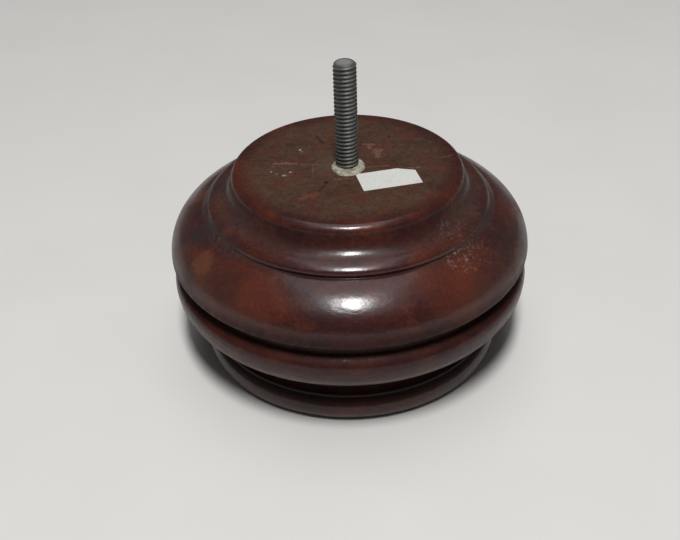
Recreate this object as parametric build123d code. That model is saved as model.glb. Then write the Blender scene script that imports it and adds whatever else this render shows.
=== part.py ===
from build123d import *
import math
import os

# Turned bun foot with a hanger bolt standing up from its mounting face.
# Millimetres, +Z up, origin at the centre of the base it stands on.

# Overall
BODY_H = 69.0            # base to mounting face
MAX_R = 62.4             # widest ring of the main bun
TOP_R = 39.7             # mounting face, outside its rounded rim
RIM_R = 2.8              # rounding of that rim

# Cove and nose under the mounting face
COVE_UPPER_R = 6.6       # tighter upper half of the cove
COVE_LOWER_R = 5.0       # lower half
COVE_BREAK = 50.0        # slope in degrees where the two halves meet
COVE_END = 80.0          # slope where the cove runs into the nose
NOSE_TOP_R = 7.0         # gently rounded top of the nose
NOSE_BREAK = 50.0        # slope where that top turns into the edge
NOSE_R = 1.8             # edge of the nose
NOSE_UNDER = 45.0        # how far the nose turns under, degrees

# Main bun
SHOULDER_R = 14.0        # side of the bun
SHOULDER_Z = 40.2        # height of the widest ring
SHOULDER_ANGLE = 45.0    # where the side meets the flatter upper dome
LIP_R = 2.2              # rounding of the bun's lower lip
LIP_UNDER = 80.0

# Middle bead
BEAD_R = 62.2            # widest ring of the middle bead
BEAD_Z = 29.4
BEAD_START = 80.0        # slope where the bead leaves the groove
BEAD_UPPER_R = 4.8
BEAD_SIDE_R = 11.0
BEAD_SIDE_ANGLE = 40.0
BEAD_LOWER_R = 5.5
BEAD_UNDER = 85.0
GROOVE_FLOOR_R = 57.75   # floor of the narrow groove above the bead
GROOVE_FLOOR_Z = 36.6

# Lower cove and base ring
SCOTIA_FLOOR_R = 47.6
SCOTIA_FLOOR_Z = 18.2
SCOTIA_FOOT_R = 51.0     # where the cove ends in a fine quirk above the base ring
SCOTIA_FOOT_Z = 10.5
BASE_RING_R = 5.2        # radius of the half-round base ring
BASE_RING_X = 48.0       # ring centre from the axis, also the flat base's radius
BASE_RING_TOP = 58.8
CENTRE_MARK_R = 1.6      # lathe centre mark in the underside
CENTRE_MARK_DEPTH = 1.8

# Hanger bolt, 5/16-18 UNC machine thread above, wood-screw thread below
STUD_R = 7.938 / 2       # thread major radius
STUD_EXPOSED = 37.6
STUD_CHAMFER = 0.9
BURIED_R = 3.6           # stretch held in the wood and the glue
BURIED_SINK = 3.0        # depth of that stretch below the face
SCREW_LENGTH = 25.5      # whole length below the face
SCREW_MAJOR_R = 3.9
SCREW_ROOT_R = 2.7
SCREW_PITCH = 2.82
SCREW_POINT = 6.0
SCREW_TIP_R = 0.5
SHOULDER_TAPER = 1.0     # from the buried stretch down to the screw's root
FIRST_RING_GAP = 0.6
RING_RISE = 0.9          # upper flank of one screw ring
RING_CREST = 0.25
RING_FALL = 0.85         # lower flank

# Dried glue round the stud
GLUE_SINK = 0.25
GLUE_EDGE = 0.2          # upright edge above the face
GLUE_RISE = 1.05
GLUE_TOP_SHARE = 0.8     # size of its top against its foot
GLUE_MIDDLE = (0.2, -1.3)
GLUE_HALF_X = 5.9
GLUE_HALF_Y = 6.5
GLUE_SWELL = 0.035       # how far the blob swells in and out, share of its size
GLUE_LOBES = 3
GLUE_POINTS = 12

# Blank paper label stuck beside the stud
LABEL_LENGTH = 20.0
LABEL_WIDTH = 11.3
LABEL_THICK = 0.16
LABEL_SINK = 0.05
LABEL_MIDDLE = (13.6, -9.9)
LABEL_TURN = 12.5
LABEL_CLIP_LONG = 5.8    # missing corner, along the label
LABEL_CLIP_SHORT = 2.7   # missing corner, across the label
LABEL_CORNER_R = 0.35


def on_circle(centre, radius, degrees):
    a = math.radians(degrees)
    return (centre[0] + radius * math.cos(a), centre[1] + radius * math.sin(a))


def sweep_arc(centre, radius, start, end):
    middle = on_circle(centre, radius, (start + end) / 2)
    return ThreePointArc(on_circle(centre, radius, start), middle, on_circle(centre, radius, end))


def label_prism(bottom, top):
    half_l = LABEL_LENGTH / 2
    half_w = LABEL_WIDTH / 2
    place = Plane(origin=(LABEL_MIDDLE[0], LABEL_MIDDLE[1], bottom)).rotated((0, 0, LABEL_TURN))
    with BuildPart() as prism:
        with BuildSketch(place):
            with BuildLine():
                Polyline(
                    (-half_l, -half_w),
                    (half_l, -half_w),
                    (half_l, half_w - LABEL_CLIP_SHORT),
                    (half_l - LABEL_CLIP_LONG, half_w),
                    (-half_l, half_w),
                    close=True,
                )
            make_face()
        extrude(amount=top - bottom)
        fillet(prism.edges().filter_by(Axis.Z), LABEL_CORNER_R)
    return prism.part


def make_label():
    top = BODY_H - LABEL_SINK + LABEL_THICK
    return label_prism(BODY_H - LABEL_SINK, top)


def glue_outline(scale):
    # uneven blob round the stud, joined by one smooth closed curve
    points = []
    for i in range(GLUE_POINTS):
        a = 2 * math.pi * i / GLUE_POINTS
        reach = scale * (1 + GLUE_SWELL * math.sin(GLUE_LOBES * a + 1))
        x = GLUE_MIDDLE[0] * scale + GLUE_HALF_X * reach * math.cos(a)
        y = GLUE_MIDDLE[1] * scale + GLUE_HALF_Y * reach * math.sin(a)
        points.append((x, y))
    return points


def make_glue(stud, label_space):
    with BuildPart() as glue:
        with BuildSketch(Plane.XY.offset(BODY_H - GLUE_SINK)):
            with BuildLine():
                Spline(*glue_outline(1), periodic=True)
            make_face()
        extrude(amount=GLUE_SINK + GLUE_EDGE)
        with BuildSketch(Plane.XY.offset(BODY_H + GLUE_EDGE)):
            with BuildLine():
                Spline(*glue_outline(1), periodic=True)
            make_face()
        with BuildSketch(Plane.XY.offset(BODY_H + GLUE_RISE)):
            with BuildLine():
                Spline(*glue_outline(GLUE_TOP_SHARE), periodic=True)
            make_face()
        loft()
    return glue.part - stud - label_space


def make_bolt():
    top = BODY_H + STUD_EXPOSED
    free_from = BODY_H + GLUE_RISE
    shoulder = BODY_H - BURIED_SINK
    point = BODY_H - SCREW_LENGTH
    rings = int((SCREW_LENGTH - BURIED_SINK - SCREW_POINT) / SCREW_PITCH)
    with BuildPart() as bolt:
        with BuildSketch(Plane.XZ):
            with BuildLine():
                outline = [
                    (0, top),
                    (STUD_R - STUD_CHAMFER, top),
                    (STUD_R, top - STUD_CHAMFER),
                    (STUD_R, free_from),
                    (BURIED_R, free_from),
                    (BURIED_R, shoulder),
                    (SCREW_ROOT_R, shoulder - SHOULDER_TAPER),
                ]
                z = shoulder - SHOULDER_TAPER - FIRST_RING_GAP
                for _ in range(rings):
                    crest = z - RING_RISE
                    outline.append((SCREW_ROOT_R, z))
                    outline.append((SCREW_MAJOR_R, crest))
                    outline.append((SCREW_MAJOR_R, crest - RING_CREST))
                    outline.append((SCREW_ROOT_R, crest - RING_CREST - RING_FALL))
                    z -= SCREW_PITCH
                outline.append((SCREW_ROOT_R, point + SCREW_POINT))
                outline.append((SCREW_TIP_R, point))
                outline.append((0, point))
                Polyline(*outline, close=True)
            make_face()
        revolve(axis=Axis.Z)
    return bolt.part


def make_blank():
    rim = (TOP_R - RIM_R, BODY_H - RIM_R)
    upper = (TOP_R + COVE_UPPER_R, BODY_H - RIM_R)
    join = on_circle(upper, COVE_UPPER_R, 180 + COVE_BREAK)
    lower = on_circle(join, COVE_LOWER_R, COVE_BREAK)
    cove_end = on_circle(lower, COVE_LOWER_R, 180 + COVE_END)
    nose_top = on_circle(cove_end, -NOSE_TOP_R, COVE_END)
    nose = on_circle(on_circle(nose_top, NOSE_TOP_R, NOSE_BREAK), -NOSE_R, NOSE_BREAK)
    crease = on_circle(nose, NOSE_R, -NOSE_UNDER)
    side = (MAX_R - SHOULDER_R, SHOULDER_Z)
    shoulder = on_circle(side, SHOULDER_R, SHOULDER_ANGLE)
    slope = math.radians(SHOULDER_ANGLE + 90)
    lip = (MAX_R - LIP_R, SHOULDER_Z)
    bead_top = (BEAD_R - BEAD_UPPER_R, BEAD_Z)
    bead_side = (BEAD_R - BEAD_SIDE_R, BEAD_Z)
    bead_turn = on_circle(bead_side, BEAD_SIDE_R, -BEAD_SIDE_ANGLE)
    bead_low = on_circle(bead_turn, -BEAD_LOWER_R, -BEAD_SIDE_ANGLE)
    ring = (BASE_RING_X, BASE_RING_R)
    with BuildPart() as blank:
        with BuildSketch(Plane.XZ):
            with BuildLine():
                Line((0, BODY_H), (rim[0], BODY_H))
                sweep_arc(rim, RIM_R, 90, 0)
                sweep_arc(upper, COVE_UPPER_R, 180, 180 + COVE_BREAK)
                sweep_arc(lower, COVE_LOWER_R, 180 + COVE_BREAK, 180 + COVE_END)
                sweep_arc(nose_top, NOSE_TOP_R, COVE_END, NOSE_BREAK)
                sweep_arc(nose, NOSE_R, NOSE_BREAK, -NOSE_UNDER)
                TangentArc(shoulder, crease, tangent=(math.cos(slope), math.sin(slope)))
                sweep_arc(side, SHOULDER_R, SHOULDER_ANGLE, 0)
                sweep_arc(lip, LIP_R, 0, -LIP_UNDER)
                ThreePointArc(
                    on_circle(lip, LIP_R, -LIP_UNDER),
                    (GROOVE_FLOOR_R, GROOVE_FLOOR_Z),
                    on_circle(bead_top, BEAD_UPPER_R, BEAD_START),
                )
                sweep_arc(bead_top, BEAD_UPPER_R, BEAD_START, 0)
                sweep_arc(bead_side, BEAD_SIDE_R, 0, -BEAD_SIDE_ANGLE)
                sweep_arc(bead_low, BEAD_LOWER_R, -BEAD_SIDE_ANGLE, -BEAD_UNDER)
                ThreePointArc(
                    on_circle(bead_low, BEAD_LOWER_R, -BEAD_UNDER),
                    (SCOTIA_FLOOR_R, SCOTIA_FLOOR_Z),
                    (SCOTIA_FOOT_R, SCOTIA_FOOT_Z),
                )
                Line((SCOTIA_FOOT_R, SCOTIA_FOOT_Z), on_circle(ring, BASE_RING_R, BASE_RING_TOP))
                sweep_arc(ring, BASE_RING_R, BASE_RING_TOP, -90)
                Polyline(
                    (BASE_RING_X, 0),
                    (CENTRE_MARK_R, 0),
                    (0, CENTRE_MARK_DEPTH),
                    (0, BODY_H),
                )
            make_face()
        revolve(axis=Axis.Z)
    return blank.part


def main():
    os.makedirs("parts", exist_ok=True)
    bolt = make_bolt()
    label = make_label()
    label_space = label_prism(BODY_H - LABEL_SINK, BODY_H + GLUE_RISE)
    glue = make_glue(bolt, label_space)
    body = make_blank() - bolt - glue - label
    nodes = {
        "bun_body": body,
        "hanger_bolt": bolt,
        "glue_collar": glue,
        "paper_label": label,
    }
    for name, shape in nodes.items():
        shape.label = name
        export_step(shape, "parts/" + name + ".step")
        print(name, "solids", len(shape.solids()), "volume", round(shape.volume, 1))


main()
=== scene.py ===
import math

import bpy
from mathutils import Matrix, Vector, noise


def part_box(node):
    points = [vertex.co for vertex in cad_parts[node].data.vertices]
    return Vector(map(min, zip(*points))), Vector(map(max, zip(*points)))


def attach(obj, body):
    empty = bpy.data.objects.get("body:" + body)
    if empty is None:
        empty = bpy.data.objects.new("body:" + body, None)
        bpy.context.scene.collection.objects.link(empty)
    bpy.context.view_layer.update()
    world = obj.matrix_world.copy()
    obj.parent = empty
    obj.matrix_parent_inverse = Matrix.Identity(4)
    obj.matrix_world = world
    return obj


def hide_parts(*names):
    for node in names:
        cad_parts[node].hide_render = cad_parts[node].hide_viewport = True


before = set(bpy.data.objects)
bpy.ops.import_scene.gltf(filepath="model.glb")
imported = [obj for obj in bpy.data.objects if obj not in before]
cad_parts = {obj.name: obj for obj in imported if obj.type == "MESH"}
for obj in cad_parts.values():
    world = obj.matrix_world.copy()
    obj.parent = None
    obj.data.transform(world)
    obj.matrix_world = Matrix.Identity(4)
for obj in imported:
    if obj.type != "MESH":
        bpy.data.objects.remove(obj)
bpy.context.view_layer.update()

# The foot stands on its base ring, turning axis up +Z. Lengths below are in millimetres
# and are turned into metres when a mesh or a light is made.
MM = 0.001
LOW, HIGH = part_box("bun_body")
BODY_H = HIGH[2] / MM                    # base to mounting face
MAX_R = (HIGH[0] - LOW[0]) / 2 / MM      # widest ring
STUD_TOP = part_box("hanger_bolt")[1][2] / MM
STUD_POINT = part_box("hanger_bolt")[0][2] / MM
STUD_R = (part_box("hanger_bolt")[1][0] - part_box("hanger_bolt")[0][0]) / 2 / MM

# Turned outline
TOP_R, RIM_R = 39.7, 2.8
COVE_UPPER_R, COVE_LOWER_R, COVE_BREAK, COVE_END = 6.6, 5.0, 50.0, 80.0
NOSE_TOP_R, NOSE_BREAK, NOSE_R, NOSE_UNDER = 7.0, 50.0, 1.8, 45.0
CREASE = (47.8, 55.9)
FILL_TOP, FILL_FOOT = (48.3, 57.2), (50.3, 55.3)     # lacquer pooled in the crease, except at the front
FILL_DEPTH = 2.0
SHOULDER_R, SHOULDER_Z, SHOULDER_ANGLE = 14.0, 40.2, 45.0
LIP_R, LIP_UNDER = 2.2, 80.0
GROOVE_FLOOR = (57.75, 36.6)
BEAD_R, BEAD_Z = 62.2, 29.4
BEAD_UPPER_R, BEAD_SIDE_R, BEAD_LOWER_R = 4.8, 11.0, 5.5
BEAD_START, BEAD_SIDE_ANGLE, BEAD_UNDER = 80.0, 40.0, 85.0
SCOTIA_FLOOR, SCOTIA_FOOT = (47.6, 18.2), (51.0, 10.5)
RING_R, RING_X, RING_TOP = 5.2, 48.0, 58.8
MARK_R, MARK_DEPTH = 1.6, 1.8
HOLE_R, PILOT_R = 4.05, 2.9
TURNS = 300                              # faces round the body
RIM_STEP, FINE_STEP, ARC_STEP = 0.18, 0.25, 0.45     # spacing of the outline's points
PILOT_STEP, HOLE_STEP, BASE_STEP, QUIRK_STEP, MARK_STEP = 3.0, 2.0, 2.5, 0.4, 0.8
SKIN, RIPPLE = 0.05, 0.05                # inside the CAD's surface, and how unevenly
FLAT = 0.05                              # how near a face is to count as on it

# Threads of the hanger bolt
THREAD_PITCH, THREAD_DEPTH = 25.4 / 18, 0.50
CREST_R = STUD_R - 0.1                   # worn crests
STUD_CHAMFER = 0.9
THREAD_END = BODY_H - 3.0
SCREW_PITCH, SCREW_ROOT_R, SCREW_TAPER = 2.82, 2.7, 7.0
BOLT_TURNS, ROWS_PER_PITCH = 72, 14
DARK_REFLECTION_MIDDLE, DARK_REFLECTION_HALF = -14.0, 28.0     # painted dark reflection on the stud, degrees round from the front

# Dried glue: share of the way from stud to edge, height over the face
GLUE_OUTLINE = (
    (0.0, 0.55), (0.12, 0.66), (0.3, 0.62), (0.45, 0.66), (0.6, 0.74), (0.72, 0.74),
    (0.82, 0.62), (0.9, 0.44), (0.96, 0.22), (1.0, 0.04), (1.0, -0.15), (0.0, -0.15),
)
GLUE_TURNS, GLUE_LUMPS, GLUE_OVERLAP = 120, 0.16, 0.6

# Paper label, with one corner missing
LABEL_LENGTH, LABEL_WIDTH, LABEL_TURN = 20.0, 11.3, 12.5
LABEL_MIDDLE = (13.6, -9.9)
LABEL_CLIP = (5.8, 2.7)
LABEL_CURL, LABEL_THICK = 0.035, 0.10
LABEL_COLUMNS, LABEL_ROWS = 40, 24

FLOOR_REACH, FLOOR_Z = 12000.0, -0.1     # the floor lies just clear of the base

# Camera, from the fitted view
AIM = (-3.6, -20.2, 39.9)
DISTANCE, ELEVATION, ROLL = 371.0, 34.84, -1.9
FOCAL, SENSOR = 58.0, 36.0

# Lights: azimuth with 0 at the camera's side, elevation, distance and size in metres, radiance
LIGHTS = {
    "window": (1.0, 67, 1.5, (0.20, 0.50), 80),
    "ceiling": (180, 84, 1.5, (1.0, 1.7), 1.2),
}
LIGHT_TINT = (0.97, 0.98, 1.0)
ROOM_TINT, ROOM_STRENGTH = (0.94, 0.96, 1.0, 1), 0.09


# ---------------------------------------------------------------- outline helpers

def on_circle(centre, radius, degrees):
    a = math.radians(degrees)
    return (centre[0] + radius * math.cos(a), centre[1] + radius * math.sin(a))


def arc(centre, radius, start, end, step=ARC_STEP):
    """Points along an arc, without its last one."""
    length = abs(math.radians(end - start)) * radius
    count = max(6, round(length / step))
    return [on_circle(centre, radius, start + (end - start) * i / count) for i in range(count)]


def arc_through(first, middle, last):
    """Points along the arc from first to last by way of middle, without its last one."""
    a, b, c = Vector(first), Vector(middle), Vector(last)
    u, v = b - a, c - a
    cross = 2 * (u.x * v.y - u.y * v.x)
    centre = a + Vector((
        (v.y * u.length_squared - u.y * v.length_squared) / cross,
        (u.x * v.length_squared - v.x * u.length_squared) / cross,
    ))
    radius = (a - centre).length
    start = math.degrees(math.atan2(a.y - centre.y, a.x - centre.x))
    end = math.degrees(math.atan2(c.y - centre.y, c.x - centre.x))
    turn_is_left = cross > 0
    while turn_is_left and end < start:
        end += 360
    while not turn_is_left and end > start:
        end -= 360
    return arc(tuple(centre), radius, start, end)


def line(first, last, step=1.0):
    """Points along a straight run, without its last one."""
    a, b = Vector(first), Vector(last)
    count = max(2, round((b - a).length / step))
    return [tuple(a.lerp(b, i / count)) for i in range(count)]


def body_outline():
    """The outline from the bottom of the stud hole, over the face, down the side and back to the axis."""
    rim = (TOP_R - RIM_R, BODY_H - RIM_R)
    upper = (TOP_R + COVE_UPPER_R, BODY_H - RIM_R)
    join = on_circle(upper, COVE_UPPER_R, 180 + COVE_BREAK)
    lower = on_circle(join, COVE_LOWER_R, COVE_BREAK)
    cove_end = on_circle(lower, COVE_LOWER_R, 180 + COVE_END)
    nose_top = on_circle(cove_end, -NOSE_TOP_R, COVE_END)
    nose = on_circle(on_circle(nose_top, NOSE_TOP_R, NOSE_BREAK), -NOSE_R, NOSE_BREAK)
    crease = on_circle(nose, NOSE_R, -NOSE_UNDER)
    side = (MAX_R - SHOULDER_R, SHOULDER_Z)
    shoulder = on_circle(side, SHOULDER_R, SHOULDER_ANGLE)
    chord = Vector(crease) - Vector(shoulder)
    half_turn = math.atan2(chord.y, chord.x) - math.radians(SHOULDER_ANGLE + 90)
    dome_r = chord.length / (2 * math.sin(half_turn))
    dome = on_circle(shoulder, -dome_r, SHOULDER_ANGLE)
    lip = (MAX_R - LIP_R, SHOULDER_Z)
    bead_top = (BEAD_R - BEAD_UPPER_R, BEAD_Z)
    bead_side = (BEAD_R - BEAD_SIDE_R, BEAD_Z)
    bead_turn = on_circle(bead_side, BEAD_SIDE_R, -BEAD_SIDE_ANGLE)
    bead_low = on_circle(bead_turn, -BEAD_LOWER_R, -BEAD_SIDE_ANGLE)
    ring = (RING_X, RING_R)
    crease_angle = SHOULDER_ANGLE + math.degrees(2 * half_turn)
    outline = [(0.0, STUD_POINT - 1.0)]
    outline += line((PILOT_R, STUD_POINT - 1.0), (PILOT_R, THREAD_END - 1.0), PILOT_STEP)
    outline += line((HOLE_R, THREAD_END - 1.0), (HOLE_R, BODY_H), HOLE_STEP)
    outline += line((HOLE_R, BODY_H), (rim[0], BODY_H))
    outline += arc(rim, RIM_R, 90, 0, RIM_STEP)
    outline += arc(upper, COVE_UPPER_R, 180, 180 + COVE_BREAK)
    outline += arc(lower, COVE_LOWER_R, 180 + COVE_BREAK, 180 + COVE_END)
    outline += arc(nose_top, NOSE_TOP_R, COVE_END, NOSE_BREAK)
    outline += arc(nose, NOSE_R, NOSE_BREAK, -NOSE_UNDER, FINE_STEP)
    outline += arc(dome, dome_r, crease_angle, SHOULDER_ANGLE)
    outline += arc(side, SHOULDER_R, SHOULDER_ANGLE, 0)
    outline += arc(lip, LIP_R, 0, -LIP_UNDER, FINE_STEP)
    groove_end = on_circle(bead_top, BEAD_UPPER_R, BEAD_START)
    outline += arc_through(on_circle(lip, LIP_R, -LIP_UNDER), GROOVE_FLOOR, groove_end)
    outline += arc(bead_top, BEAD_UPPER_R, BEAD_START, 0)
    outline += arc(bead_side, BEAD_SIDE_R, 0, -BEAD_SIDE_ANGLE)
    outline += arc(bead_low, BEAD_LOWER_R, -BEAD_SIDE_ANGLE, -BEAD_UNDER)
    outline += arc_through(on_circle(bead_low, BEAD_LOWER_R, -BEAD_UNDER), SCOTIA_FLOOR, SCOTIA_FOOT)
    outline += line(SCOTIA_FOOT, on_circle(ring, RING_R, RING_TOP), QUIRK_STEP)
    outline += arc(ring, RING_R, RING_TOP, -90)
    outline += line((RING_X, 0), (MARK_R, 0), BASE_STEP)
    outline += line((MARK_R, 0), (0, MARK_DEPTH), MARK_STEP)
    outline.append((0.0, MARK_DEPTH))
    return outline


def pooled(r, z, share):
    """Moves a point of the crease towards the straight face of the lacquer that fills it."""
    run = Vector(FILL_FOOT) - Vector(FILL_TOP)
    at = Vector((r, z)) - Vector(FILL_TOP)
    along = at.dot(run) / run.length_squared
    out = Vector((-run.y, run.x)).normalized()
    depth = -at.dot(out)
    if 0 < along < 1 and 0 < depth < FILL_DEPTH:
        at += out * depth * share
    return tuple(Vector(FILL_TOP) + at)


# Wear and dirt on the turned surface, with painted shade and painted light laid in among them. Each entry
# is a point of the outline, its reach at the front and elsewhere, then its strength at the front and
# elsewhere.
GLAZE_AND_SHADE = (                                    # dark glaze settled in the hollows, deepened with painted shade
    (CREASE, 0.9, 3.4, 0.75, 0.40),
    ((57.9, 36.0), 2.3, 2.5, 0.75, 0.75),    # groove over the middle bead
    ((47.6, 17.5), 7.4, 7.4, 0.95, 0.95),    # lower cove, glaze and painted shade
    ((51.4, 10.2), 2.2, 2.2, 0.85, 0.85),    # quirk over the base ring, painted shade
    ((41.8, 62.5), 3.2, 3.2, 0.32, 0.20),    # cove, painted shade
    ((61.6, 40.4), 4.2, 3.6, 0.55, 0.30),    # bun's lip, painted shade
    ((61.2, 30.0), 6.0, 6.0, 0.45, 0.45),    # middle bead, painted shade
    ((52.0, 5.0), 5.0, 5.0, 0.35, 0.35),     # base ring, painted shade
)
DUST_AND_PAINTED_LIGHT = (                                    # grey dust over the lacquer, with painted light: shaded hollows lifted and a grey sheen on the sides
    # crease: dust, lifted at the sides as painted light against the shade there
    (CREASE, 0.5, 3.4, 0.10, 0.70),
    ((42.6, 61.4), 1.6, 5.5, 0.10, 0.60),    # cove
    ((58.0, 36.0), 2.2, 2.8, 1.20, 0.90),    # groove over the middle bead, dust lifted as painted light
    ((48.6, 18.0), 5.0, 5.0, 0.90, 0.60),    # lower cove, dust lifted as painted light
    ((61.0, 47.5), 3.0, 11.0, 0.00, 0.42),   # bun's sides, painted grey sheen
)
SATIN = (                                    # gloss worn off or never there
    ((44.2, 60.4), 2.6, 4.5, 0.35, 0.90),    # cove
    ((40.2, 65.2), 2.4, 4.0, 0.95, 0.95),    # wall under the rim
    ((61.0, 39.8), 4.2, 4.6, 0.95, 0.95),    # bun's lip
    ((61.0, 46.5), 3.0, 12.0, 0.00, 0.60),   # bun's sides
    ((60.2, 33.4), 2.6, 3.0, 1.00, 1.00),    # top of the middle bead
    ((60.0, 26.0), 4.6, 5.2, 0.60, 0.80),    # underside of the middle bead
    ((39.4, 68.2), 0.5, 3.0, 0.00, 0.70),    # rim
    (CREASE, 0.8, 5.0, 0.00, 0.90),
)
RUBBED = (                                   # stain rubbed thin
    ((39.0, 68.3), 1.5, 1.6, 0.45, 0.25),
    ((61.5, 38.6), 1.4, 1.4, 0.10, 0.30),
    ((61.0, 31.5), 1.2, 1.2, 0.20, 0.40),
    ((53.2, 5.0), 2.6, 2.6, 0.25, 0.30),
)


def off_front(place):
    """0 across the front of the foot, rising unevenly to 1 round the sides and back."""
    degrees = abs(math.degrees(math.atan2(place.x, -place.y)))
    share = min(1.0, max(0.0, (degrees - 20) / 38))
    return share * (1 + 0.35 * noise.noise(place * 0.11))


def near(place, spots):
    """How close a point of the body lies to any of the spots, 0 to 1."""
    point = Vector((math.hypot(place.x, place.y), place.z))
    side = off_front(place)
    total = 0.0
    for spot, front_reach, side_reach, front_strength, side_strength in spots:
        reach = front_reach + (side_reach - front_reach) * side
        strength = front_strength + (side_strength - front_strength) * side
        away = (point - Vector(spot)).length / reach
        total = max(total, strength * math.exp(-away * away))
    return total


# ---------------------------------------------------------------- mesh helpers

def add_object(name, vertices, faces, materials, smooth=True):
    """A mesh object from vertices in millimetres."""
    mesh = bpy.data.meshes.new(name)
    mesh.from_pydata([tuple(c * MM for c in v) for v in vertices], [], faces)
    for polygon in mesh.polygons:
        polygon.use_smooth = smooth
    for material in materials:
        mesh.materials.append(material)
    piece = bpy.data.objects.new(name, mesh)
    bpy.context.scene.collection.objects.link(piece)
    return piece


def lathe(name, outline, turns, shape, materials):
    """A solid of revolution. shape(r, angle, z) gives each vertex."""
    vertices, rings = [], []
    for r, z in outline:
        first = len(vertices)
        if r < 1e-6:
            vertices.append((0.0, 0.0, z))
            rings.append([first] * turns)
            continue
        for i in range(turns):
            vertices.append(shape(r, 2 * math.pi * i / turns, z))
        rings.append(list(range(first, first + turns)))
    faces = []
    for upper, lower in zip(rings, rings[1:]):
        for i in range(turns):
            j = (i + 1) % turns
            corners = [upper[i], lower[i], lower[j], upper[j]]
            faces.append(list(dict.fromkeys(corners)))
    return add_object(name, vertices, faces, materials)


def paint(mesh, name, value):
    """Stores value(vertex in mm) on every point as a number the materials read."""
    layer = mesh.attributes.new(name, "FLOAT", "POINT")
    layer.data.foreach_set("value", [value(v.co / MM) for v in mesh.vertices])


def settle(piece, node):
    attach(piece, "root")
    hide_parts(node)


# ---------------------------------------------------------------- material helpers

class Graph:
    """Small helper for building a procedural material on one Principled shader."""

    def __init__(self, name):
        self.material = bpy.data.materials.new(name)
        self.material.use_nodes = True
        self.tree = self.material.node_tree
        self.shader = self.tree.nodes["Principled BSDF"]
        coordinates = self.tree.nodes.new("ShaderNodeTexCoord")
        self.place = self.vector("MULTIPLY", coordinates.outputs["Object"], (1000, 1000, 1000))

    def feed(self, socket, value):
        if isinstance(value, bpy.types.NodeSocket):
            self.tree.links.new(value, socket)
        elif isinstance(value, (tuple, list)) and len(value) == 3 and socket.type == "RGBA":
            socket.default_value = (*value, 1)
        else:
            socket.default_value = value

    def set(self, **values):
        for name, value in values.items():
            title = name.replace("_", " ").title().replace("Ior", "IOR")
            self.feed(self.shader.inputs[title], value)

    def math(self, operation, a, b=0.0, clamp=False):
        node = self.tree.nodes.new("ShaderNodeMath")
        node.operation = operation
        node.use_clamp = clamp
        self.feed(node.inputs[0], a)
        self.feed(node.inputs[1], b)
        return node.outputs[0]

    def vector(self, operation, a, b=(0, 0, 0)):
        node = self.tree.nodes.new("ShaderNodeVectorMath")
        node.operation = operation
        self.feed(node.inputs[0], a)
        if operation == "SCALE":
            self.feed(node.inputs["Scale"], b)
        else:
            self.feed(node.inputs[1], b)
        return node.outputs["Value" if operation in ("DOT_PRODUCT", "DISTANCE") else "Vector"]

    def stretched(self, scale, offset=(0, 0, 0)):
        return self.vector("ADD", self.vector("MULTIPLY", self.place, scale), offset)

    def noise(self, vector, scale=1.0, detail=3.0, roughness=0.5, distortion=0.0):
        node = self.tree.nodes.new("ShaderNodeTexNoise")
        self.feed(node.inputs["Vector"], vector)
        node.inputs["Scale"].default_value = scale
        node.inputs["Detail"].default_value = detail
        node.inputs["Roughness"].default_value = roughness
        node.inputs["Distortion"].default_value = distortion
        return node.outputs["Fac"]

    def ramp(self, value, low, high, to_low=0.0, to_high=1.0):
        node = self.tree.nodes.new("ShaderNodeMapRange")
        node.interpolation_type = "SMOOTHSTEP"
        self.feed(node.inputs["Value"], value)
        node.inputs["From Min"].default_value = low
        node.inputs["From Max"].default_value = high
        node.inputs["To Min"].default_value = to_low
        node.inputs["To Max"].default_value = to_high
        return node.outputs["Result"]

    def mix(self, amount, a, b, blend="MIX"):
        node = self.tree.nodes.new("ShaderNodeMix")
        node.data_type = "RGBA"
        node.blend_type = blend
        self.feed(node.inputs["Factor"], amount)
        self.feed(node.inputs[6], a)
        self.feed(node.inputs[7], b)
        return node.outputs[2]

    def attribute(self, name):
        node = self.tree.nodes.new("ShaderNodeAttribute")
        node.attribute_name = name
        return node.outputs["Fac"]

    def blot(self, centre, radius, raggedness=0.35, detail_scale=0.25):
        """1 inside a ragged patch round a place, 0 outside."""
        away = self.vector("DISTANCE", self.place, centre)
        ragged = self.noise(self.place, detail_scale, 3.0)
        away = self.math("ADD", away, self.math("MULTIPLY", ragged, -2 * radius * raggedness))
        return self.ramp(away, radius * (1 - raggedness), radius * (0.45 - raggedness))

    def stroke(self, start, end, width, raggedness=0.6, detail_scale=1.2):
        """1 along a short ragged line on the face, 0 away from it."""
        a, b = Vector((*start, BODY_H)), Vector((*end, BODY_H))
        run = b - a
        along = self.vector("DOT_PRODUCT", self.vector("SUBTRACT", self.place, tuple(a)), tuple(run))
        along = self.math("DIVIDE", along, run.length_squared, clamp=True)
        foot = self.vector("ADD", self.vector("SCALE", tuple(run), along), tuple(a))
        away = self.vector("DISTANCE", self.place, foot)
        ragged = self.math("SUBTRACT", self.noise(self.place, detail_scale, 2.0), 0.5)
        away = self.math("ADD", away, self.math("MULTIPLY", ragged, 2 * width * raggedness))
        return self.ramp(away, width, width * 0.35)

    def bump(self, height, distance_mm):
        node = self.tree.nodes.new("ShaderNodeBump")
        node.inputs["Distance"].default_value = distance_mm * MM
        self.feed(node.inputs["Height"], height)
        self.set(normal=node.outputs["Normal"], coat_normal=node.outputs["Normal"])


# ---------------------------------------------------------------- materials

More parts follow.
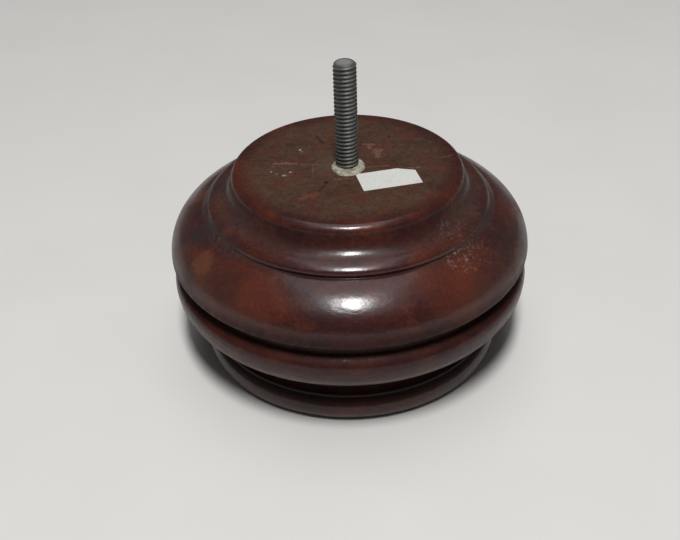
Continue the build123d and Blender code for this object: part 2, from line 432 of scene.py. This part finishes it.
# Colours, in linear light
STAIN_DARK = (0.026, 0.0060, 0.0056)
DEEPEST_GLAZE_AND_SHADE = (0.012, 0.0030, 0.0026)
STAIN_RED = (0.050, 0.0088, 0.0054)
WARM_STAIN_AND_GLOW = (0.108, 0.0215, 0.0080)
STAIN_THIN = (0.150, 0.0460, 0.0180)
DARK_GLAZE_AND_SHADE = (0.0205, 0.0200, 0.0215)
DUST_AND_LIGHT_GREY = (0.060, 0.049, 0.041)
DUST_PALE = (0.30, 0.24, 0.20)
FACE_SHADE, FACE_BROWN, FACE_TAN = (0.036, 0.0155, 0.0085), (0.062, 0.0285, 0.0150), (0.086, 0.047, 0.027)
FACE_RED, FACE_GRIME = (0.082, 0.0195, 0.0115), (0.018, 0.0080, 0.0056)
STREAK_ORANGE, HAZE_PALE, GRIT_PALE = (0.125, 0.040, 0.013), (0.17, 0.13, 0.10), (0.30, 0.25, 0.20)
SCRAPE_PINK, SPECK_PALE, MARK_DARK = (0.165, 0.075, 0.058), (0.42, 0.37, 0.31), (0.010, 0.004, 0.004)
# the last colour here is the stud's bare end, lightened further as a painted reflection
STEEL_DARK, STEEL_LIGHT, STEEL_BARE_AND_LIT = (0.150, 0.150, 0.138), (0.215, 0.210, 0.194), (0.34, 0.34, 0.32)
# the middle colour here is a painted dark reflection down the stud's left front
STEEL_GRIME, STEEL_DARK_REFLECTION, STEEL_RUST = (0.065, 0.062, 0.056), (0.040, 0.041, 0.038), (0.12, 0.07, 0.04)
GLUE_DARK, GLUE_LIGHT, GLUE_DIRT = (0.18, 0.165, 0.115), (0.42, 0.40, 0.305), (0.13, 0.085, 0.055)
PAPER_DARK, PAPER_LIGHT, PAPER_SMUDGE = (0.54, 0.535, 0.49), (0.65, 0.645, 0.60), (0.46, 0.45, 0.40)
FLOOR_DARK, FLOOR_LIGHT = (0.66, 0.64, 0.605), (0.71, 0.69, 0.655)

# Patches where the stain took unevenly or was worn, except the first four, warm ones beside the main
# highlight, which are painted light: the warm glow of the lit front. Columns: middle, reach, strength,
# colour
STAIN_AND_GLOW_PATCHES = (
    # painted light: warm glow of the lit front either side of the main highlight
    ((-41.0, -42.0, 48.0), 21.0, 0.40, WARM_STAIN_AND_GLOW),
    ((34.0, -45.0, 51.0), 20.0, 0.50, WARM_STAIN_AND_GLOW),
    ((-28.5, -49.0, 51.0), 11.0, 0.50, WARM_STAIN_AND_GLOW),
    ((36.5, -42.5, 52.0), 11.0, 0.50, WARM_STAIN_AND_GLOW),
    ((-40.5, -43.5, 49.0), 8.0, 0.45, STAIN_DARK),
    ((43.0, -42.0, 47.5), 8.0, 0.45, STAIN_DARK),
    ((-48.2, -30.1, 51.4), 5.6, 0.65, STAIN_THIN),
    ((-47.9, -17.5, 55.0), 8.0, 0.50, DARK_GLAZE_AND_SHADE),
    ((-52.2, 8.0, 54.2), 5.5, 0.60, STAIN_THIN),
    ((-54.5, 17.5, 51.0), 5.0, 0.95, DARK_GLAZE_AND_SHADE),
)

GRITTY_WIDE = ((37.0, -33.0, 57.0), 13.0)    # dry grit round the right of the nose
GRITTY_CORE = ((34.5, -39.0, 55.5), 6.5)


def wood_grain(graph):
    """Long soft streaks and short dark pores, both running along X."""
    streaks = graph.noise(graph.stretched((0.02, 0.22, 0.22)), 1.0, 4.0, 0.55, 0.5)
    pores = graph.noise(graph.stretched((0.30, 3.2, 3.2), (40, 0, 0)), 1.0, 2.0, 0.5)
    return streaks, graph.ramp(pores, 0.62, 0.74)


def stained(graph):
    """Mottled red-brown stain, shared by the lacquered sides and the edge of the dull face."""
    streaks, pores = wood_grain(graph)
    clouds = graph.noise(graph.place, 0.05, 4.0, 0.55)
    tone = graph.math("ADD", graph.math("MULTIPLY", streaks, 0.3), graph.math("MULTIPLY", clouds, 0.7))
    colour = graph.mix(graph.ramp(tone, 0.36, 0.62), STAIN_DARK, STAIN_RED)
    warm = graph.noise(graph.stretched((0.07, 0.07, 0.10), (11, 5, 2)), 1.0, 5.0, 0.65)
    colour = graph.mix(graph.ramp(warm, 0.46, 0.72, 0.0, 0.6), colour, WARM_STAIN_AND_GLOW)
    blotch = graph.noise(graph.place, 0.28, 5.0, 0.68)
    colour = graph.mix(graph.ramp(blotch, 0.52, 0.72, 0.0, 0.30), colour, WARM_STAIN_AND_GLOW)
    grit = graph.noise(graph.place, 0.9, 4.0, 0.7)
    colour = graph.mix(1.0, colour, graph.ramp(grit, 0.30, 0.70, 1.30, 0.65), "MULTIPLY")
    return graph.mix(graph.math("MULTIPLY", pores, 0.3), colour, DARK_GLAZE_AND_SHADE), clouds, grit


def lacquered_wood():
    graph = Graph("lacquered_wood")
    colour, clouds, grit = stained(graph)
    # stain patches, and the warm glow painted either side of the main highlight
    for centre, radius, strength, tint in STAIN_AND_GLOW_PATCHES:
        patch = graph.math("MULTIPLY", graph.blot(centre, radius, 0.40, 3.0 / radius), strength)
        patch = graph.math("MULTIPLY", patch, graph.ramp(grit, 0.3, 0.6, 1.0, 0.7))
        colour = graph.mix(patch, colour, tint)
    rubbed = graph.math("MULTIPLY", graph.attribute("rubbed"), graph.ramp(clouds, 0.35, 0.6, 0.2, 0.7))
    colour = graph.mix(rubbed, colour, WARM_STAIN_AND_GLOW)
    mottle = graph.noise(graph.place, 0.5, 5.0, 0.7)

    def uneven(name, low, high):
        """A painted attribute, broken up by the mottle."""
        broken = graph.ramp(mottle, 0.3, 0.7, low, high)
        return graph.math("MULTIPLY", graph.attribute(name), broken, clamp=True)

    # glaze settled in the hollows, deepened with painted shade there and on the lower parts
    glaze_and_shade = uneven("glaze_and_shade", 0.85, 1.15)
    glaze_and_shade_colour = graph.mix(graph.ramp(glaze_and_shade, 0.50, 0.85), DEEPEST_GLAZE_AND_SHADE, DARK_GLAZE_AND_SHADE)
    colour = graph.mix(glaze_and_shade, colour, glaze_and_shade_colour)
    # grey dust, and painted light: shaded hollows lifted, and a grey sheen on the bun's sides
    dust_and_light_veil = uneven("dust_and_painted_light", 0.45, 1.35)
    colour = graph.mix(graph.math("MULTIPLY", dust_and_light_veil, 0.6), colour, DUST_AND_LIGHT_GREY)
    gritty = graph.math("MULTIPLY", graph.blot(*GRITTY_WIDE, 0.4, 0.15), 0.7)
    gritty = graph.math("MAXIMUM", gritty, graph.math("MULTIPLY", dust_and_light_veil, 0.3))
    gritty = graph.math("ADD", gritty, graph.blot(*GRITTY_CORE, 0.4, 0.3))
    specks = graph.ramp(graph.noise(graph.place, 0.8, 4.0, 0.75), 0.51, 0.70)
    specks = graph.math("MULTIPLY", gritty, specks)
    colour = graph.mix(graph.math("MULTIPLY", specks, 0.34), colour, DUST_PALE)
    dull = graph.math("MAXIMUM", graph.math("MAXIMUM", glaze_and_shade, dust_and_light_veil), uneven("satin", 0.8, 1.1))
    graph.set(base_color=colour, specular_ior_level=0.14, coat_roughness=0.21)
    haze = graph.ramp(graph.noise(graph.place, 0.35, 3.0, 0.6), 0.3, 0.7, 0.9, 0.75)
    gloss = graph.math("MULTIPLY", haze, graph.ramp(dull, 0.0, 1.0, 1.0, 0.0))
    graph.set(coat_weight=graph.math("SUBTRACT", gloss, graph.math("MULTIPLY", specks, 0.4), clamp=True))
    graph.set(roughness=graph.ramp(dull, 0.0, 1.0, 0.42, 0.60))
    ripple = graph.noise(graph.stretched((0.25, 0.25, 0.7)), 1.0, 2.0, 0.5)
    height = graph.math("ADD", ripple, graph.math("MULTIPLY", grit, 0.22))
    graph.bump(height, 0.07)
    return graph.material


# Marks on the dull face, found round the stud: start, end, half-width, then strength for the dark ones
DRIVE_MARKS = (
    ((-10.4, 21.7), (-8.1, 16.4), 0.60, 0.60),
    ((-7.3, -10.8), (-9.3, -16.5), 0.55, 0.55),
    ((15.0, 19.2), (15.3, 19.8), 0.65, 0.60),
    ((6.9, 15.4), (7.2, 15.9), 0.50, 0.60),
    ((-7.2, -10.8), (-7.3, -11.0), 1.15, 0.90),
)
PINK_SCRAPES = (
    ((-24.8, 2.6), (-17.4, 2.2), 1.00),
    ((-17.0, 2.0), (-9.0, 0.9), 0.25),
    ((6.4, 14.6), (9.4, 13.7), 0.95),
    ((7.9, 13.0), (8.3, 11.4), 1.00),
    ((10.1, 10.0), (10.7, 5.0), 1.45),
    ((12.0, 10.6), (10.9, 6.4), 0.90),
    ((32.0, 2.8), (36.4, 4.8), 0.28),
    ((5.6, -2.0), (14.0, -1.2), 0.35),
    ((20.5, -3.4), (24.4, -3.2), 0.60),
    ((-4.4, -9.2), (1.8, -9.0), 0.50),
    ((-9.9, 3.6), (-11.6, 0.6), 0.22),
    ((-11.6, 0.6), (-11.7, -4.5), 0.22),
)
PALE_SPECKS = (
    ((-16.1, 11.4), (-16.1, 12.0), 0.60),
    ((-15.4, 10.4), (-15.3, 10.5), 0.35),
    ((-19.3, -3.6), (-19.2, -3.5), 0.75),
    ((-21.5, -5.6), (-21.1, -5.5), 0.70),
    ((-25.6, -2.6), (-25.6, -3.2), 0.28),
    ((-23.6, -4.4), (-23.5, -4.4), 0.35),
)
GRITTY_SPOT = ((-23.5, -2.0, BODY_H), 8.0)   # fine pale grit round the specks
ORANGE_STREAK = ((-15.8, -21.2), (-10.5, -18.2), 1.6)
HAZE = ((-6.5, 0.5, BODY_H), 7.5)            # a pale smear left of the stud
EDGE_FROM, EDGE_TO = TOP_R - 7.0, TOP_R - 1.5


def dull_face_wood():
    """The stained, unlacquered mounting face and underside."""
    graph = Graph("dull_face_wood")
    glossy_stain, clouds, grit = stained(graph)
    streaks, pores = wood_grain(graph)
    tone = graph.math("ADD", graph.math("MULTIPLY", streaks, 0.35), graph.math("MULTIPLY", clouds, 0.65))
    colour = graph.mix(graph.ramp(tone, 0.38, 0.60), FACE_SHADE, FACE_BROWN)
    mottle = graph.noise(graph.place, 0.38, 5.0, 0.7)
    colour = graph.mix(graph.ramp(mottle, 0.40, 0.70, 0.0, 0.6), colour, FACE_TAN)
    red = graph.noise(graph.stretched((0.13, 0.13, 0.13), (3, 7, 1)), 1.0, 5.0, 0.70)
    colour = graph.mix(graph.ramp(red, 0.44, 0.64, 0.0, 0.65), colour, FACE_RED)
    colour = graph.mix(graph.ramp(grit, 0.44, 0.70, 0.0, 0.60), colour, FACE_GRIME)
    out = graph.vector("DISTANCE", graph.place, (0, 0, BODY_H))
    out = graph.math("ADD", out, graph.math("MULTIPLY", mottle, 2.5))
    edge = graph.ramp(out, EDGE_FROM, EDGE_TO)
    colour = graph.mix(graph.math("MULTIPLY", edge, 0.65), colour, glossy_stain)
    streak = graph.stroke(*ORANGE_STREAK, 1.4, 0.7)
    colour = graph.mix(graph.math("MULTIPLY", streak, 0.5), colour, STREAK_ORANGE)
    haze = graph.blot(*HAZE, 0.35, 0.2)
    colour = graph.mix(graph.math("MULTIPLY", haze, 0.14), colour, HAZE_PALE)
    grains = graph.ramp(graph.noise(graph.place, 1.9, 2.0, 0.6), 0.60, 0.72)
    grains = graph.math("MULTIPLY", grains, graph.blot(*GRITTY_SPOT, 0.4, 0.3))
    colour = graph.mix(graph.math("MULTIPLY", grains, 0.45), colour, GRIT_PALE)
    pink, height = None, mottle
    for start, end, width in PINK_SCRAPES:
        mark = graph.stroke(start, end, width, 1.2)
        pink = mark if pink is None else graph.math("MAXIMUM", pink, mark)
    pink = graph.math("MULTIPLY", pink, graph.ramp(grit, 0.35, 0.62, 0.90, 0.35))
    colour = graph.mix(pink, colour, SCRAPE_PINK)
    crumbled = graph.ramp(grit, 0.3, 0.6, 0.75, 0.35)
    for start, end, width in PALE_SPECKS:
        speck = graph.math("MULTIPLY", graph.stroke(start, end, width), crumbled)
        colour = graph.mix(speck, colour, SPECK_PALE)
    for start, end, width, strength in DRIVE_MARKS:
        mark = graph.math("MULTIPLY", graph.stroke(start, end, width, 1.0), strength)
        colour = graph.mix(mark, colour, MARK_DARK)
        height = graph.math("SUBTRACT", height, graph.math("MULTIPLY", mark, 2.5))
    graph.set(base_color=colour, specular_ior_level=0.28)
    dull = graph.ramp(mottle, 0.3, 0.7, 0.50, 0.66)
    graph.set(roughness=graph.math("SUBTRACT", dull, graph.math("MULTIPLY", edge, 0.22)))
    graph.bump(height, 0.10)
    return graph.material


def thread_steel():
    graph = Graph("thread_steel")
    grime = graph.attribute("root")
    blotch = graph.noise(graph.place, 0.55, 4.0, 0.6)
    colour = graph.mix(graph.ramp(blotch, 0.35, 0.7), STEEL_DARK, STEEL_LIGHT)
    colour = graph.mix(graph.math("MULTIPLY", grime, 0.35), colour, STEEL_GRIME)
    # painted dark reflection down the left front of the stud
    dark_reflection = graph.math("MULTIPLY", graph.attribute("dark_reflection"), graph.ramp(blotch, 0.3, 0.6, 0.7, 1.0))
    colour = graph.mix(graph.math("MULTIPLY", dark_reflection, 0.68), colour, STEEL_DARK_REFLECTION)
    # bare cut end of the stud, lightened further as a painted reflection of the ceiling lamp
    bare_and_lit = graph.blot((0, 0, STUD_TOP), STUD_R - 0.7, 0.1)
    colour = graph.mix(bare_and_lit, colour, STEEL_BARE_AND_LIT)
    rust = graph.ramp(graph.noise(graph.place, 0.9, 4.0, 0.7), 0.62, 0.74)
    colour = graph.mix(graph.math("MULTIPLY", rust, 0.35), colour, STEEL_RUST)
    graph.set(base_color=colour, metallic=0.7, specular_ior_level=0.3)
    graph.set(roughness=graph.ramp(blotch, 0.3, 0.7, 0.52, 0.62))
    graph.bump(graph.noise(graph.stretched((4, 4, 1.0)), 1.5, 3.0), 0.02)
    return graph.material


def dried_glue():
    graph = Graph("dried_glue")
    cloud = graph.noise(graph.place, 0.55, 4.0, 0.6)
    colour = graph.mix(graph.ramp(cloud, 0.35, 0.65), GLUE_DARK, GLUE_LIGHT)
    dirt = graph.ramp(graph.noise(graph.place, 1.3, 3.0, 0.6), 0.55, 0.70)
    colour = graph.mix(graph.math("MULTIPLY", dirt, 0.45), colour, GLUE_DIRT)
    graph.set(base_color=colour, subsurface_weight=0.1, subsurface_scale=0.001)
    graph.set(roughness=graph.ramp(cloud, 0.3, 0.7, 0.40, 0.6))
    graph.bump(graph.noise(graph.place, 1.4, 3.0), 0.15)
    return graph.material


def label_paper():
    graph = Graph("label_paper")
    fibres = graph.noise(graph.stretched((1.2, 2.6, 1.0)), 1.0, 4.0, 0.7)
    smudge = graph.noise(graph.place, 0.18, 3.0, 0.55)
    colour = graph.mix(graph.ramp(fibres, 0.3, 0.7), PAPER_DARK, PAPER_LIGHT)
    colour = graph.mix(graph.ramp(smudge, 0.52, 0.75, 0.0, 0.3), colour, PAPER_SMUDGE)
    graph.set(base_color=colour, roughness=0.62, specular_ior_level=0.3)
    graph.bump(fibres, 0.03)
    return graph.material


def pale_floor():
    graph = Graph("pale_floor")
    soft = graph.noise(graph.place, 0.02, 2.0)
    graph.set(base_color=graph.mix(soft, FLOOR_DARK, FLOOR_LIGHT), roughness=0.9)
    return graph.material


# ---------------------------------------------------------------- pieces

def make_body():
    def turned(r, a, z):
        place = Vector((r * math.cos(a), r * math.sin(a), z))
        r -= SKIN + RIPPLE * noise.noise(place * 0.09)
        r, z = pooled(r, z, min(1.0, off_front(place)))
        return (r * math.cos(a), r * math.sin(a), z)

    materials = (lacquered_wood(), dull_face_wood())
    piece = lathe("turned_bun", body_outline(), TURNS, turned, materials)
    for polygon in piece.data.polygons:
        x, y, z = polygon.center / MM
        r = math.hypot(x, y)
        on_face = z > BODY_H - FLAT and r < TOP_R - RIM_R
        underneath = z < FLAT or r < HOLE_R + 1
        polygon.material_index = 1 if on_face or underneath else 0
    paint(piece.data, "glaze_and_shade", lambda v: near(v, GLAZE_AND_SHADE))
    paint(piece.data, "rubbed", lambda v: near(v, RUBBED))
    paint(piece.data, "dust_and_painted_light", lambda v: near(v, DUST_AND_PAINTED_LIGHT))
    paint(piece.data, "satin", lambda v: near(v, SATIN))
    settle(piece, "bun_body")
    return piece


def machine_thread(phase):
    """Depth share of a 60 degree thread with flattened crests and flat roots."""
    return min(1.0, max(0.0, (abs(phase - 0.5) * 2 - 0.125) / 0.75))


def bolt_radius(angle, z):
    if z >= THREAD_END:
        phase = (z / THREAD_PITCH - angle / (2 * math.pi)) % 1.0
        depth = machine_thread(phase)
        radius = CREST_R - THREAD_DEPTH * (1 - depth)
        return min(radius, STUD_R - STUD_CHAMFER + max(0.0, STUD_TOP - z)), 1 - depth
    phase = (z / SCREW_PITCH - angle / (2 * math.pi)) % 1.0
    ridge = max(0.0, 1 - abs(phase - 0.5) * 3.2)
    taper = min(1.0, (z - STUD_POINT + 0.4) / SCREW_TAPER)
    blend = min(1.0, (THREAD_END - z) / 2.0)
    root = SCREW_ROOT_R * taper * blend + (STUD_R - THREAD_DEPTH) * (1 - blend)
    return root + (STUD_R - 0.1 - SCREW_ROOT_R) * ridge * taper * blend, 1 - ridge


def dark_reflection(place):
    """A painted dark reflection: a dark stripe down the left front of the stud."""
    degrees = math.degrees(math.atan2(place.x, -place.y))
    return math.exp(-((degrees - DARK_REFLECTION_MIDDLE) / DARK_REFLECTION_HALF) ** 2)


def make_bolt():
    step = THREAD_PITCH / ROWS_PER_PITCH
    outline = [(0.0, STUD_TOP)]
    outline += [(r, STUD_TOP) for r in (1.0, 2.0)]
    count = round((STUD_TOP - STUD_POINT) / step)
    outline += [(STUD_R, STUD_TOP - (STUD_TOP - STUD_POINT) * i / count) for i in range(count + 1)]
    outline.append((0.0, STUD_POINT))

    def threaded(r, a, z):
        r = min(r, bolt_radius(a, z)[0])
        return (r * math.cos(a), r * math.sin(a), z)

    piece = lathe("threaded_stud", outline, BOLT_TURNS, threaded, (thread_steel(),))
    paint(piece.data, "root", lambda v: bolt_radius(math.atan2(v.y, v.x), v.z)[1])
    paint(piece.data, "dark_reflection", dark_reflection)
    settle(piece, "hanger_bolt")
    return piece


def make_glue():
    low, high = (Vector(corner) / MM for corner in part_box("glue_collar"))
    middle = (low + high) / 2
    half = (high - low) / 2

    def lump(share, a, height):
        # share runs from 0 at the stud to 1 at the outer edge
        wobble = noise.noise(Vector((math.cos(a), math.sin(a), 0.3)) * 1.9)
        wobble += 0.5 * noise.noise(Vector((math.cos(a), math.sin(a), 2.0)) * 5.0)
        edge = 0.96 + 0.04 * wobble
        inner = Vector((math.cos(a), math.sin(a))) * (STUD_R - GLUE_OVERLAP)
        outer = Vector((middle.x + half.x * edge * math.cos(a), middle.y + half.y * edge * math.sin(a)))
        at = inner.lerp(outer, share)
        rough = GLUE_LUMPS * noise.noise(Vector((at.x, at.y, 7.0)) * 0.9) * (1 if height > 0 else 0)
        top = min(high.z - 0.03, BODY_H + height + rough * share * 2)
        return (at.x, at.y, top)

    angles = [2 * math.pi * i / GLUE_TURNS for i in range(GLUE_TURNS)]
    vertices = [lump(share, a, height) for share, height in GLUE_OUTLINE for a in angles]
    faces = []
    for row in range(len(GLUE_OUTLINE)):
        here = row * GLUE_TURNS
        below = (row + 1) % len(GLUE_OUTLINE) * GLUE_TURNS
        for i in range(GLUE_TURNS):
            j = (i + 1) % GLUE_TURNS
            faces.append([here + i, below + i, below + j, here + j])
    piece = add_object("glue_ring", vertices, faces, (dried_glue(),))
    settle(piece, "glue_collar")
    return piece


def make_label():
    low, high = (Vector(corner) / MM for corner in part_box("paper_label"))
    half_l, half_w = LABEL_LENGTH / 2, LABEL_WIDTH / 2
    turn = Matrix.Rotation(math.radians(LABEL_TURN), 2)
    columns, rows = LABEL_COLUMNS, LABEL_ROWS
    vertices, faces = [], []
    for layer in (0, 1):
        for i in range(columns + 1):
            for j in range(rows + 1):
                x = -half_l + LABEL_LENGTH * i / columns
                y = -half_w + LABEL_WIDTH * j / rows
                # the torn corner: pull the top edge down along a straight cut
                over = (x - (half_l - LABEL_CLIP[0])) / LABEL_CLIP[0]
                if over > 0:
                    y = -half_w + (LABEL_WIDTH - LABEL_CLIP[1] * over) * j / rows
                at = turn @ Vector((x, y)) + Vector(LABEL_MIDDLE)
                curl = LABEL_CURL * noise.noise(Vector((at.x, at.y, 0)) * 0.22)
                top = high.z - LABEL_CURL + curl
                vertices.append((at.x, at.y, top if layer else max(low.z, top - LABEL_THICK)))
    size = (columns + 1) * (rows + 1)
    for i in range(columns):
        for j in range(rows):
            a = i * (rows + 1) + j
            b, c, d = a + rows + 1, a + rows + 2, a + 1
            faces.append([a, d, c, b])
            faces.append([size + a, size + b, size + c, size + d])
    border = [i * (rows + 1) for i in range(columns)]
    border += [columns * (rows + 1) + j for j in range(rows)]
    border += [i * (rows + 1) + rows for i in range(columns, 0, -1)]
    border += [j for j in range(rows, 0, -1)]
    for a, b in zip(border, border[1:] + border[:1]):
        faces.append([a, b, size + b, size + a])
    piece = add_object("blank_label", vertices, faces, (label_paper(),), smooth=False)
    settle(piece, "paper_label")
    return piece


# ---------------------------------------------------------------- stage

def make_floor():
    corners = [(-1, -1), (1, -1), (1, 1), (-1, 1)]
    vertices = [(x * FLOOR_REACH, y * FLOOR_REACH, FLOOR_Z) for x, y in corners]
    floor = add_object("floor", vertices, [[0, 1, 2, 3]], (pale_floor(),), smooth=False)


def add_light(name, azimuth, elevation, distance, size, radiance):
    """An elliptical area light aimed at the foot."""
    data = bpy.data.lights.new(name, "AREA")
    data.shape = "ELLIPSE"
    data.size, data.size_y = size
    data.energy = radiance * math.pi * (math.pi / 4 * size[0] * size[1])
    data.color = LIGHT_TINT
    a, e = math.radians(azimuth), math.radians(elevation)
    aim = Vector((0, 0, BODY_H / 2 * MM))
    way = Vector((math.sin(a) * math.cos(e), -math.cos(a) * math.cos(e), math.sin(e)))
    light = bpy.data.objects.new(name, data)
    light.location = aim + way * distance
    light.rotation_euler = way.to_track_quat("Z", "Y").to_euler()
    bpy.context.scene.collection.objects.link(light)


def make_lights():
    for name, values in LIGHTS.items():
        add_light(name, *values)
    world = bpy.data.worlds.new("room")
    world.use_nodes = True
    background = world.node_tree.nodes["Background"]
    background.inputs["Color"].default_value = ROOM_TINT
    background.inputs["Strength"].default_value = ROOM_STRENGTH
    bpy.context.scene.world = world
    bpy.context.scene.view_settings.view_transform = "Standard"


def make_camera():
    data = bpy.data.cameras.new("camera")
    data.sensor_width = SENSOR
    data.lens = FOCAL
    data.clip_start = 0.01
    e, roll = math.radians(ELEVATION), math.radians(ROLL)
    forward = Vector((0, math.cos(e), -math.sin(e)))
    flat_right = Vector((1, 0, 0))
    flat_up = flat_right.cross(forward)
    right = math.cos(roll) * flat_right + math.sin(roll) * flat_up
    up = -math.sin(roll) * flat_right + math.cos(roll) * flat_up
    camera = bpy.data.objects.new("camera", data)
    at = Vector(AIM) * MM - forward * DISTANCE * MM
    camera.matrix_world = Matrix((
        (right.x, up.x, -forward.x, at.x),
        (right.y, up.y, -forward.y, at.y),
        (right.z, up.z, -forward.z, at.z),
        (0, 0, 0, 1),
    ))
    bpy.context.scene.collection.objects.link(camera)
    bpy.context.scene.camera = camera


make_body()
make_bolt()
make_glue()
make_label()
make_floor()
make_lights()
make_camera()
